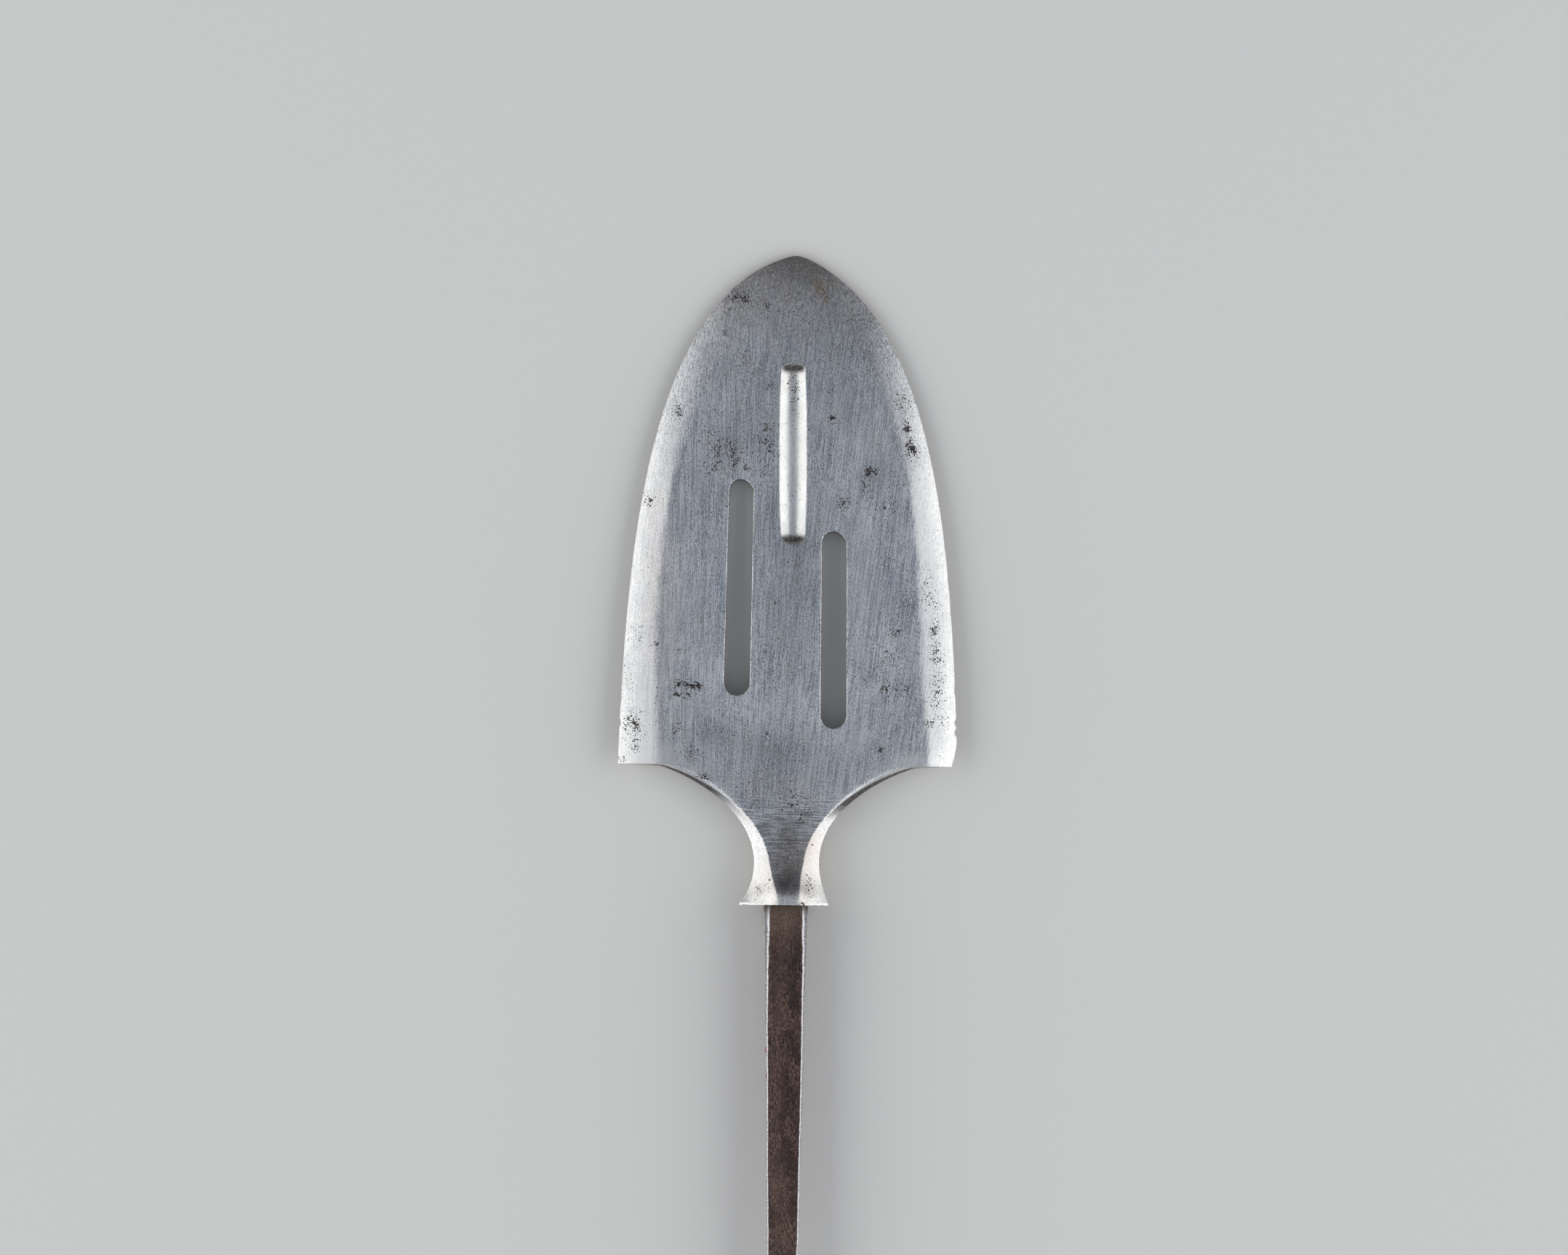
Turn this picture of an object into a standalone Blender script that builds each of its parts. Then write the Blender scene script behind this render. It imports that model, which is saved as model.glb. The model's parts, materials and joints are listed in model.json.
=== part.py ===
"""Slotted arrowhead lying on its back: a forged steel head with a seat collar, and the tang driven into its neck.

Built in metres about the seat face's centre, with +Y to the tip and +Z out of the front, then laid on the ground.
"""

import math

import bmesh
import bpy
from mathutils import Matrix, Vector

# Blade. Heights run from the seat face towards the tip.
HEAD_LENGTH = 0.0740
BLADE_WIDTH = 0.0387
CORNER_HEIGHT = 0.0161
BLADE_THICKNESS = 0.0025
TIP_THICKNESS = 0.0020
EDGE_THICKNESS = 0.0005
BEVEL_WIDTH = 0.0042
TIP_BEVEL = 0.0050

# How far the outline's curve pulls towards its ends, as (share of half width, share of length) from the tip.
TIP_PULL = (0.865, 0.090)
CORNER_PULL = (0.960, 0.580)
BEVEL_CURVE = 1.5

# Shoulders, neck and seat collar. A side is how far its facet runs in from the outline, seen from the front,
# and an edge is the thickness that is left along the outline.
SHOULDER_WIDTH = 0.0292
SHOULDER_DROP = 0.0003
SHOULDER_SIDE = 0.0005
WAIST_WIDTH = 0.00746
WAIST_DEPTH = 0.0038
WAIST_HEIGHT = 0.0049
WAIST_SIDE = 0.0018
WAIST_EDGE = 0.0019
COLLAR_WIDTH = 0.0100
COLLAR_DEPTH = 0.0064
COLLAR_SIDE = 0.0037
COLLAR_EDGE = 0.0026
COLLAR_LAND = 0.0008

# How far the neck's hollow curves hold on to the waist before they turn to the shoulder and to the collar.
SHOULDER_PULL = 0.68
COLLAR_PULL = 0.75

# Slots and groove, as seen from the front.
SLOT_WIDTH = 0.0029
SLOT_TOP_WIDTH = 0.0027
SLOT_ARCH = 0.0014
LEFT_SLOT_OFFSET = -0.0057
LEFT_SLOT_LEAN = math.radians(-0.8)
LEFT_SLOT_BOTTOM = 0.0238
LEFT_SLOT_TOP = 0.0484
RIGHT_SLOT_OFFSET = 0.0051
RIGHT_SLOT_LEAN = math.radians(0.3)
RIGHT_SLOT_BOTTOM = 0.0201
RIGHT_SLOT_TOP = 0.0426
GROOVE_OFFSET = 0.0003
GROOVE_WIDTH = 0.0030
GROOVE_DEPTH = 0.0004
GROOVE_BOTTOM = 0.0412
GROOVE_TOP = 0.0618
GROOVE_END = 0.0007

# Tang, from its tenon in the neck to its blunt end.
TANG_WIDTH = 0.00506
TANG_CHAMFER = 0.0007
TANG_LENGTH = 0.0825
TANG_END_WIDTH = 0.0026
TANG_KNEE_WIDTH = 0.00375
TANG_KNEE = 0.0220
TENON_DEPTH = 0.0042
TENON_WIDTH = 0.0034
TENON_END_WIDTH = 0.0022
TENON_CLEARANCE = 0.0003
RELIEF_DEPTH = 0.0003

# Facets.
BLADE_STEPS = 28
SHOULDER_STEPS = 14
FLARE_STEPS = 10
SIDE_STEPS = 6
TANG_STEPS = 10
ARC_STEPS = 8
KAPPA = 0.5523

BLADE_HALF = BLADE_WIDTH / 2
EDGE_HALF = EDGE_THICKNESS / 2
SHOULDER_HEIGHT = CORNER_HEIGHT - SHOULDER_DROP
TANG_SHOULDER = RELIEF_DEPTH - TENON_CLEARANCE


def lerp(start, end, share):
    return start + (end - start) * share


def bezier(points, share):
    """Point on the Bezier curve through any number of control points."""
    while len(points) > 1:
        points = [a.lerp(b, share) for a, b in zip(points, points[1:])]
    return points[0]


def flat_height(y):
    """Half thickness of the blade between its two ground faces."""
    share = (y - CORNER_HEIGHT) / (HEAD_LENGTH - CORNER_HEIGHT)
    return lerp(BLADE_THICKNESS, TIP_THICKNESS, share) / 2


def ogive(half_width, length, share):
    """Point of the pointed outline, from the tip at share 0 to the lower corner at share 1."""
    corners = [(0.0, 0.0), TIP_PULL, CORNER_PULL, (1.0, 1.0)]
    x, drop = bezier([Vector(corner) for corner in corners], share)
    return Vector((x * half_width, CORNER_HEIGHT + (1.0 - drop) * length))


def blade_quarter(share):
    """Section of the blade from its centre line, across the flat and down the ground edge."""
    length = HEAD_LENGTH - CORNER_HEIGHT
    edge = ogive(BLADE_HALF, length, share)
    flat = ogive(BLADE_HALF - BEVEL_WIDTH, length - TIP_BEVEL, share)
    top = flat_height(flat.y)
    points = [Vector((0.0, flat.y, top)), Vector((flat.x, flat.y, top))]
    for step in range(1, SIDE_STEPS + 1):
        across = step / SIDE_STEPS
        x, y = flat.lerp(edge, across)
        points.append(Vector((x, y, lerp(top, EDGE_HALF, across**BEVEL_CURVE))))
    return points


def neck_quarter(half_width, y, depth, side, edge):
    """Section of the neck: a front flat with a crisp edge, and a side facet that falls to the side wall."""
    points = [Vector((0.0, y, depth))]
    for step in range(SIDE_STEPS + 1):
        across = step / SIDE_STEPS
        x = lerp(half_width - side, half_width, across)
        points.append(Vector((x, y, lerp(depth, edge, across))))
    return points


def neck_quarters():
    """Sections from the blade's lower edge down the hollow shoulder to the waist, the flare and the collar's land.

    Each control point holds a half width, a height, a half depth, the run of the side facet and a half edge.
    """
    start = Vector((SHOULDER_WIDTH / 2, SHOULDER_HEIGHT, flat_height(SHOULDER_HEIGHT), SHOULDER_SIDE, EDGE_HALF))
    waist = Vector((WAIST_WIDTH / 2, WAIST_HEIGHT, WAIST_DEPTH / 2, WAIST_SIDE, WAIST_EDGE / 2))
    rim = Vector((COLLAR_WIDTH / 2, COLLAR_LAND, COLLAR_DEPTH / 2, COLLAR_SIDE, COLLAR_EDGE / 2))
    seat = rim.copy()
    seat[1] = 0.0
    turn = start.copy()
    turn[0] -= SHOULDER_SIDE
    above = start.lerp(waist, 0.3)
    above[:3] = waist[0], lerp(waist[1], start[1], SHOULDER_PULL), start[2]
    below = waist.lerp(rim, 0.2)
    below[:2] = waist[0], lerp(waist[1], rim[1], COLLAR_PULL)
    below[3] = waist[3]
    shoulder = [bezier([start, turn, above, waist], step / SHOULDER_STEPS) for step in range(SHOULDER_STEPS)]
    flare = [bezier([waist, below, rim], step / FLARE_STEPS) for step in range(FLARE_STEPS + 1)]
    return [neck_quarter(*section) for section in shoulder + flare + [seat]]


def whole_section(quarter):
    """Closed loop of a section from its front right quarter."""
    right_back = [Vector((p.x, p.y, -p.z)) for p in reversed(quarter)]
    left_back = [Vector((-p.x, p.y, -p.z)) for p in quarter[1:]]
    left_front = [Vector((-p.x, p.y, p.z)) for p in reversed(quarter[1:])]
    return quarter + right_back + left_back + left_front


def square_section(y, width, chamfer):
    """Closed loop of a square with cut corners, across the axis at height y."""
    half = width / 2
    flat = half - chamfer
    corners = [(flat, half), (half, flat), (half, -flat), (flat, -half)]
    corners += [(-flat, -half), (-half, -flat), (-half, flat), (-flat, half)]
    return [Vector((x, y, z)) for x, z in corners]


def loft(name, sections, capped_start=True):
    """Closed mesh through sections of equal length; a start without a cap has closed on its centre line."""
    mesh = bpy.data.meshes.new(name)
    body = bmesh.new()
    rings = [[body.verts.new(point) for point in section] for section in sections]
    for upper, lower in zip(rings, rings[1:]):
        for i, corner in enumerate(upper):
            body.faces.new((corner, upper[i - 1], lower[i - 1], lower[i]))
    body.faces.new(rings[-1])
    if capped_start:
        body.faces.new(reversed(rings[0]))
    bmesh.ops.remove_doubles(body, verts=body.verts, dist=1e-7)
    bmesh.ops.recalc_face_normals(body, faces=body.faces)
    body.to_mesh(mesh)
    body.free()
    return bpy.data.objects.new(name, mesh)


def prism(name, outline, half_height, placement):
    """Closed mesh of a flat outline; each corner of it is a point with its two curve handles."""
    curve = bpy.data.curves.new(name, "CURVE")
    curve.dimensions = "2D"
    curve.fill_mode = "BOTH"
    curve.extrude = half_height
    curve.resolution_u = ARC_STEPS
    spline = curve.splines.new("BEZIER")
    spline.use_cyclic_u = True
    spline.bezier_points.add(len(outline) - 1)
    for knot, (before, point, after) in zip(spline.bezier_points, outline):
        knot.handle_left_type = "FREE"
        knot.handle_right_type = "FREE"
        knot.co = (*point, 0.0)
        knot.handle_left = (*before, 0.0)
        knot.handle_right = (*after, 0.0)
    flat = bpy.data.objects.new(name, curve)
    bpy.context.collection.objects.link(flat)
    bpy.context.view_layer.update()
    graph = bpy.context.evaluated_depsgraph_get()
    mesh = bpy.data.meshes.new_from_object(flat.evaluated_get(graph))
    mesh.name = name
    bpy.data.objects.remove(flat)
    bpy.data.curves.remove(curve)
    body = bmesh.new()
    body.from_mesh(mesh)
    bmesh.ops.remove_doubles(body, verts=body.verts, dist=1e-6)
    bmesh.ops.dissolve_degenerate(body, dist=1e-7, edges=body.edges)
    bmesh.ops.recalc_face_normals(body, faces=body.faces)
    bmesh.ops.transform(body, matrix=placement, verts=body.verts)
    body.to_mesh(mesh)
    body.free()
    return bpy.data.objects.new(name, mesh)


def rounded_outline(bottom, top, low_half, top_half, low_round, top_round):
    """Long outline with straight sides and an elliptic arch at each end, as knots with handles."""
    low = bottom + low_round
    high = top - top_round
    lean = (top_half - low_half) / 3
    rise = (high - low) / 3

    def knot(x, y, before, after):
        return ((x + before[0], y + before[1]), (x, y), (x + after[0], y + after[1]))

    return [
        knot(0.0, bottom, (-KAPPA * low_half, 0.0), (KAPPA * low_half, 0.0)),
        knot(low_half, low, (0.0, -KAPPA * low_round), (lean, rise)),
        knot(top_half, high, (-lean, -rise), (0.0, KAPPA * top_round)),
        knot(0.0, top, (KAPPA * top_half, 0.0), (-KAPPA * top_half, 0.0)),
        knot(-top_half, high, (0.0, KAPPA * top_round), (lean, -rise)),
        knot(-low_half, low, (-lean, rise), (0.0, -KAPPA * low_round)),
    ]


def slot_cutter(name, offset, lean, bottom, top):
    """Slot through the blade: round below, with a narrower arch above, leaning a little about its middle."""
    half_length = (top - bottom) / 2
    low_half = SLOT_WIDTH / 2
    outline = rounded_outline(-half_length, half_length, low_half, SLOT_TOP_WIDTH / 2, low_half, SLOT_ARCH)
    middle = Matrix.Translation((offset, bottom + half_length, 0.0))
    return prism(name, outline, BLADE_THICKNESS, middle @ Matrix.Rotation(lean, 4, "Z"))


def groove_cutter():
    """Round-bottomed groove in the front face: a long cylinder sunk into it, stopped by the outline's ends."""
    half = GROOVE_WIDTH / 2
    radius = (half**2 + GROOVE_DEPTH**2) / (2 * GROOVE_DEPTH)
    length = GROOVE_TOP - GROOVE_BOTTOM
    middle = (GROOVE_TOP + GROOVE_BOTTOM) / 2
    slope = math.atan2(flat_height(GROOVE_TOP) - flat_height(GROOVE_BOTTOM), length)
    outline = rounded_outline(GROOVE_BOTTOM, GROOVE_TOP, half, half, GROOVE_END, GROOVE_END)
    face = Matrix.Translation((GROOVE_OFFSET, 0.0, flat_height(middle)))
    cutter = prism("groove_cutter", outline, 2 * GROOVE_DEPTH, face)
    mesh = bpy.data.meshes.new("groove_wheel")
    body = bmesh.new()
    bmesh.ops.create_cone(
        body, cap_ends=True, segments=96, radius1=radius, radius2=radius, depth=1.5 * length
    )
    lift = Matrix.Translation((GROOVE_OFFSET, middle, flat_height(middle) - GROOVE_DEPTH + radius))
    along_face = lift @ Matrix.Rotation(slope + math.pi / 2, 4, "X")
    bmesh.ops.transform(body, matrix=along_face, verts=body.verts)
    body.to_mesh(mesh)
    body.free()
    wheel = bpy.data.objects.new("groove_wheel", mesh)
    cut(cutter, wheel, "INTERSECT")
    return cutter, wheel


def tang_sections():
    """Sections of the bar: its tenon in the neck, the shoulder in the seat's slot, and the taper to a blunt end."""
    taper = [
        Vector((TANG_SHOULDER, TANG_WIDTH)),
        Vector((-TANG_KNEE, TANG_KNEE_WIDTH)),
        Vector((-TANG_LENGTH, TANG_END_WIDTH)),
    ]
    tenon = [Vector((TENON_DEPTH, TENON_END_WIDTH)), Vector((TANG_SHOULDER, TENON_WIDTH))]
    bar = [bezier(taper, step / TANG_STEPS) for step in range(TANG_STEPS + 1)]
    return [square_section(y, width, TANG_CHAMFER * width / TANG_WIDTH) for y, width in tenon + bar]


def socket_cutter():
    """Tapered socket for the tenon, a clearance wider all round, running out below the seat face."""
    slope = (TENON_WIDTH - TENON_END_WIDTH) / (TENON_DEPTH - TANG_SHOULDER)
    sections = []
    for y in (TENON_DEPTH + TENON_CLEARANCE, -TENON_CLEARANCE):
        width = TENON_END_WIDTH + slope * (TENON_DEPTH - y) + 2 * TENON_CLEARANCE
        sections.append(square_section(y, width, TANG_CHAMFER * width / TANG_WIDTH))
    return loft("socket_cutter", sections)


def relief_cutter():
    """Shallow slot across the seat face for the tang's shoulder, which leaves the face's two ears beside it."""
    mesh = bpy.data.meshes.new("relief_cutter")
    body = bmesh.new()
    bmesh.ops.create_cube(body, size=2.0)
    reach = (TANG_WIDTH / 2 + TENON_CLEARANCE, RELIEF_DEPTH, COLLAR_DEPTH)
    bmesh.ops.scale(body, vec=reach, verts=body.verts)
    body.to_mesh(mesh)
    body.free()
    return bpy.data.objects.new("relief_cutter", mesh)


def cut(body, cutter, operation="DIFFERENCE"):
    modifier = body.modifiers.new(cutter.name, "BOOLEAN")
    modifier.operation = operation
    modifier.object = cutter
    modifier.solver = "EXACT"


def metal(name, colour, metallic, roughness):
    material = bpy.data.materials.new(name)
    material.use_nodes = True
    shader = material.node_tree.nodes["Principled BSDF"]
    shader.inputs["Base Color"].default_value = (*colour, 1.0)
    shader.inputs["Metallic"].default_value = metallic
    shader.inputs["Roughness"].default_value = roughness
    return material


def finish(body, material):
    body.data.materials.append(material)
    body.data.shade_smooth()
    body.data.set_sharp_from_angle(angle=math.radians(25.0))


def laid_down(head, tang):
    """Placement with the ground at z 0 under the middle: resting on the collar's rim and the blade's back."""
    blade = [vertex.co for vertex in head.data.vertices if vertex.co.y > CORNER_HEIGHT]
    tilt = min(math.atan2(point.z + COLLAR_DEPTH / 2, point.y - COLLAR_LAND) for point in blade)
    turn = Matrix.Rotation(-tilt, 4, "X")
    turned = [turn @ vertex.co for item in (head, tang) for vertex in item.data.vertices]
    lowest = min(point.z for point in turned)
    middle = (min(point.y for point in turned) + max(point.y for point in turned)) / 2
    return Matrix.Translation((0.0, -middle, -lowest)) @ turn


def collection(name, objects):
    group = bpy.data.collections.new(name)
    bpy.context.scene.collection.children.link(group)
    for item in objects:
        group.objects.link(item)


def main():
    for item in list(bpy.data.objects):
        bpy.data.objects.remove(item)

    blade = [blade_quarter(step / BLADE_STEPS) for step in range(BLADE_STEPS + 1)]
    quarters = blade + neck_quarters()
    head = loft("blade_head", [whole_section(quarter) for quarter in quarters], capped_start=False)
    tang = loft("tang", tang_sections())
    groove, wheel = groove_cutter()
    slots = [
        slot_cutter("left_slot", LEFT_SLOT_OFFSET, LEFT_SLOT_LEAN, LEFT_SLOT_BOTTOM, LEFT_SLOT_TOP),
        slot_cutter("right_slot", RIGHT_SLOT_OFFSET, RIGHT_SLOT_LEAN, RIGHT_SLOT_BOTTOM, RIGHT_SLOT_TOP),
    ]
    cutters = slots + [groove, socket_cutter(), relief_cutter()]
    for cutter in cutters:
        cut(head, cutter)

    finish(head, metal("polished_steel", (0.46, 0.47, 0.50), 1.0, 0.35))
    finish(tang, metal("brown_iron", (0.10, 0.07, 0.06), 0.6, 0.65))
    collection("slotted_arrowhead", [head, tang])
    collection("cutters", cutters + [wheel])
    placement = laid_down(head, tang)
    for item in [head, tang, wheel] + cutters:
        item.matrix_world = placement
    for item in [wheel] + cutters:
        item.hide_render = True
        item.display_type = "WIRE"


main()
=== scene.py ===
"""Looks of the slotted arrowhead: worn steel head, brown tang, floor, lamps and camera.

Shapes are worked out in millimetres about the centre of the seat face, with +Y to the tip and +Z out of
the front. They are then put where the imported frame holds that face.
"""

import json
import math
from collections import namedtuple

import bmesh
import bpy
from mathutils import Matrix, Vector, noise
from mathutils.geometry import delaunay_2d_cdt


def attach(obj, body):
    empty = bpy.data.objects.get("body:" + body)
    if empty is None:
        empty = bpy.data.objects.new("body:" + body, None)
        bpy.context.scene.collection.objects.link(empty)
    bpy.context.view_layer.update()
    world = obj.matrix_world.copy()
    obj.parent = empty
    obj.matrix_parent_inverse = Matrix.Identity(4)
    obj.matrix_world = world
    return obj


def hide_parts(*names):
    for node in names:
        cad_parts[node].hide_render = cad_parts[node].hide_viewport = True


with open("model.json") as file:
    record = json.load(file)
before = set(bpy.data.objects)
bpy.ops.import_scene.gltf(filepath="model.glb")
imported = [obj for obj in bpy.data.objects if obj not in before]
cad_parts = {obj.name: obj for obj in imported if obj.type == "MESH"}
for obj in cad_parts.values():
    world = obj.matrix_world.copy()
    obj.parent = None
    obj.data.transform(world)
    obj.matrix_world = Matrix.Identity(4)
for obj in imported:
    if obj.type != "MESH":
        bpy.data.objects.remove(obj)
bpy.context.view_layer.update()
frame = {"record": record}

# View: the picture's width at the object in metres, the object's point in the picture's middle in
# millimetres, the camera's angles, its distance in metres and its sensor.
VIEW_WIDTH = 0.1782
VIEW_X = -0.56
VIEW_Y = 31.54
VIEW_ROLL = math.radians(0.6)
VIEW_TILT = math.radians(0.8)
VIEW_DISTANCE = 0.75
SENSOR_MM = 36.0

# Blade, in millimetres. Heights run from the seat face towards the tip. The ground face's softness and
# convexity are given low down and at the tip.
HEAD_LENGTH = 74.1
BLADE_HALF = 19.25
CORNER_HEIGHT = 15.9
FLAT_HALF = 1.42
FLAT_HALF_AT_TIP = 0.95
EDGE_HALF = 0.06
EDGE_ROUND = 0.05
TIP_PULL = (0.865, 0.09)
CORNER_PULL = (0.96, 0.58)
TIP_ROUND = 0.6
TIP_SLOPE = 0.31
TIP_LEAN = 0.38
TIP_LEAN_LENGTH = 1.4
BEVEL = 4.2
BEVEL_ABOVE = 3.8
BEVEL_NARROWING = (26.0, 46.0)
BEVEL_AT_TIP = 4.6
BEVEL_SOFT = (0.22, 1.1)
BEVEL_FADE = (50.0, 70.0)
CORNER_SPREAD = {-1: 0.6, 1: -0.8}
CORNER_SPREAD_FADE = (17.5, 27.0)
BEVEL_CONVEX = (0.18, 0.06)
# Painted highlight on each side's ground edge and on its lower corner, unlike on the two sides and fading
# out towards the tip.
BEVEL_HIGHLIGHT = {-1: 0.68, 1: 0.80}
CORNER_HIGHLIGHT = {-1: 0.35, 1: 0.0}
HIGHLIGHT_FADE = (48.0, 68.0)
STRIP = 6.4
STRIP_AT_TIP = 9.0
CROWN = 0.15
CROWN_HALF = 15.0
WAVES = 0.016
WAVE_RATES = (0.13, 0.09)
WAVE_SHIFT = 7.0
WAVE_FINER = 2.3
WAVE_FADE = 6.0

# Wear along the edge: side, height, depth and half length of each nick; the rubbed lower right corner.
NICKS = (
    (1, 20.9, 0.2, 0.3),
    (1, 19.8, 0.26, 0.28),
    (1, 24.6, 0.08, 0.5),
    (1, 33.4, 0.06, 0.4),
    (1, 37.0, 0.05, 0.6),
    (-1, 20.5, 0.17, 0.25),
    (-1, 23.2, 0.06, 0.5),
    (-1, 66.0, 0.08, 0.6),
    (-1, 69.4, 0.1, 0.45),
)
CORNER_LOSS = 0.62
CORNER_LOSS_HEIGHT = 18.8
CORNER_LOSS_POWER = 1.4
NICK_POWER = 6

# Shoulders and neck: half width, height, run of the side facet and half height of the side wall below it.
# The collar's sides flare unlike: the height that pulls the flare, then the rim's half width and facet.
# The undersides of the shoulders get painted shade between two heights.
SHOULDER = Vector((14.5, 15.7, 0.6, 0.25))
SHOULDER_TURN = Vector((14.0, 15.7, 0.7, 0.25))
UNDERSIDE = {-1: (11.2, 13.0), 1: (9.8, 11.6)}
SHOULDER_PULL = {-1: Vector((3.85, 12.2, 0.9, 0.46)), 1: Vector((3.6, 12.2, 0.9, 0.46))}
WAIST = Vector((3.68, 4.8, 1.75, 0.95))
FLARE = {-1: (2.2, 5.24, 4.45), 1: (2.9, 4.74, 3.25)}
FLARE_PULL = (2.25, 0.95)
RIM_HEIGHT = 0.26
RIM_EDGE = 1.45
RIM_LAND = 0.07
# Painted highlight on the collar's rim, growing towards the seat.
RIM_HIGHLIGHT = 0.4
RIM_HIGHLIGHT_FADE = (1.5, 0.9)
NECK_KNOTS = ((12.5, FLAT_HALF), (7.0, FLAT_HALF), (3.3, 1.9), (1.9, 3.2), (0.8, 3.2))
NECK_DEPTH = [Vector(knot) for knot in NECK_KNOTS]
FACET_SOFT = 0.05
RIM_SOFT = 0.34
RIM_SOFT_POWER = 4
NECK_MARGIN = 0.9
MARGIN_SHARE = 0.7
SHOULDER_BLEND = (10.0, 14.0)
SHOULDER_MARGIN = 3.2
SHOULDER_SOFT = 0.4
# Painted highlight: on the flat by the shoulders, on the neck's side facets, and faded in across the ground
# edges.
SHOULDER_HIGHLIGHT = 0.5
FACET_HIGHLIGHT = 0.82
FACET_FADE = 0.3
# Painted shade fading in across the shoulders' undersides.
UNDERSIDE_FADE = 0.35
TARNISH = 0.95
TARNISH_LENGTH = 3.4
# How much darker the collar's underside and the socket are.
SEAT_DARKENING = 0.9
SOCKET_DARKENING = 1.0

# Slots: offset, lean, lower and upper end. Groove: along the middle of the front, narrower at its ends. Its
# dirt is given as level, inset and half length, the pits at its top as level, length and half width across,
# and those on its floor as level and half width across.
SLOTS = (
    (-5.7, math.radians(-0.8), 23.75, 48.3),
    (5.1, math.radians(0.3), 20.1, 42.45),
)
SLOT_HALF = 1.45
SLOT_CUT = ((1.37, -1.15), (1.3, -1.02), (0.75, -0.02), (-0.1, 0.0))
SLOT_ARCH = ((-0.1, 0.0), (-0.8, 0.0), (-1.37, -0.56), (-1.37, -1.25))
SLOT_LIP = 0.12
# Dirt and painted shade on the slots' walls.
SLOT_DIRT_AND_SHADE = 0.6
GROOVE_X = 0.27
GROOVE_HALF = 1.54
GROOVE_PINCH = 0.26
GROOVE_LEAN = -0.008
GROOVE_DEPTH = 0.58
GROOVE_BOTTOM = 41.0
GROOVE_TOP = 61.6
GROOVE_TOP_ARCH = 0.7
GROOVE_BOTTOM_ARCH = 1.4
GROOVE_RAMP = 0.85
GROOVE_LIP = 0.03
GROOVE_OVERRUN = 1.1
GROOVE_RIM = 0.3
# Painted highlight on the groove's walls and, less, on its floor, fading in from its lips.
GROOVE_WALL_HIGHLIGHT = 1.25
GROOVE_FLOOR_HIGHLIGHT = 0.85
GROOVE_HIGHLIGHT_FADE = (0.01, 0.06)
GROOVE_DIRT = (1.6, 0.55, 0.42)
GROOVE_TOP_PITS = (0.35, 3.0, 0.7)
GROOVE_FLOOR_PITS = (0.25, 0.5)

# Tang: half widths and chamfers along its length, its wear, and the tenon that holds it. Swells, bow and
# ragged corners are given as size and rate of a noise, and corner wear low down and at the seat.
TANG_LENGTH = 82.5
TANG_HALF = 2.53
TANG_KNEE = 22.0
TANG_KNEE_HALF = 1.875
TANG_END_HALF = 1.3
TANG_GAP = 0.05
TANG_END_CHAMFER = 0.35
TANG_SWELLS = ((0.05, 0.55), (0.02, 2.1))
TANG_BOW = (0.05, 0.12)
CHAMFER_TOP = 0.72
CHAMFER_LOW = 0.17
CHAMFER_FADE = 8.5
CHAMFER_RAGGED = (0.16, 0.9)
CORNER_ROUND = 0.7
CORNER_WEAR = (0.8, 0.6)
RIDGE_WEAR = 1.0
RIDGE_WIDTH = 0.08
GRIME_LENGTH = 0.9
TENON_DEPTH = 4.2
TENON_HALF = 1.7
TENON_END_HALF = 1.1
TENON_GAP = 0.3
TENON_CHAMFER = 0.4
TENON_END_CHAMFER = 0.3

# Mesh fineness, and how far the loose points of the flats stay from the fine ones.
OUTLINE_STEPS = 2000
BLADE_STEP = 0.26
NECK_STEPS = 96
FLARE_STEPS = 56
LAND_STEPS = 4
STRIP_PLACES = [step / 5 - 1 for step in range(5)] + [step / 10 for step in range(11)]
INNER_SPACING = 1.5
OUTER_SPACING = 1.3
GRID_STEP = {1: 0.45, -1: 0.9}
GRID_ENDS = 1.0
GRID_SIDES = 0.5
GRID_LEAST = 0.2
GRID_CLEAR = 0.4
SLOT_REACH = SLOT_HALF + 0.75
SLOT_END_CLEAR = 0.6
LIP_STEPS = 4
SLOT_ROUND_STEPS = 24
SLOT_ARCH_STEPS = 14
SLOT_SIDE_STEPS = 60
GROOVE_MARGIN = 0.8
GROOVE_SIDE_MARGIN = 0.5
GROOVE_END_ZONE = 2.2
GROOVE_END_STEP = 0.13
GROOVE_LONG_STEP = 0.4
GROOVE_ACROSS_STEP = 0.11
TANG_STEP = 0.4
TANG_FACE_STEPS = 4
TANG_CORNER_STEPS = 6

# Colours of the steel, with a cool and a warm one where there are two, and of what lies on it.
STEEL_DARK = ((0.33, 0.34, 0.358), (0.358, 0.354, 0.347))
STEEL_LIGHT = ((0.835, 0.845, 0.855), (0.865, 0.86, 0.85))
# Painted highlight: the light colour of the bright ground edges, facets, rim and groove walls.
PAINTED_HIGHLIGHT_COLOUR = (0.925, 0.9, 0.845)
# Painted highlight along the long scratches.
SCRATCH_HIGHLIGHT_COLOUR = (1.0, 0.98, 0.93)
SCUFF_COLOUR = (0.16, 0.155, 0.15)
# Painted shade: the grey that darkens the flats and the neck's front.
SHADE_COLOUR = (0.14, 0.138, 0.14)
FILM_TINT = (0.92, 0.83, 0.76)
TARNISH_COLOUR = (0.2, 0.165, 0.125)
RUST_COLOUR = (0.13, 0.072, 0.038)
# Dirt in the groove, and painted shade on the slots' walls and the shoulders' undersides.
DIRT_AND_SHADE_COLOUR = (0.042, 0.031, 0.024)
PIT_COLOUR = (0.03, 0.023, 0.02)

# Colours of the tang, with a dark and a light one where there are two.
FIBRES = ((0.012, 0.005, 0.004), (0.235, 0.136, 0.108))
BLOTCH_COLOUR = (0.026, 0.011, 0.009)
GRAIN_COLOUR = (0.02, 0.008, 0.007)
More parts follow.
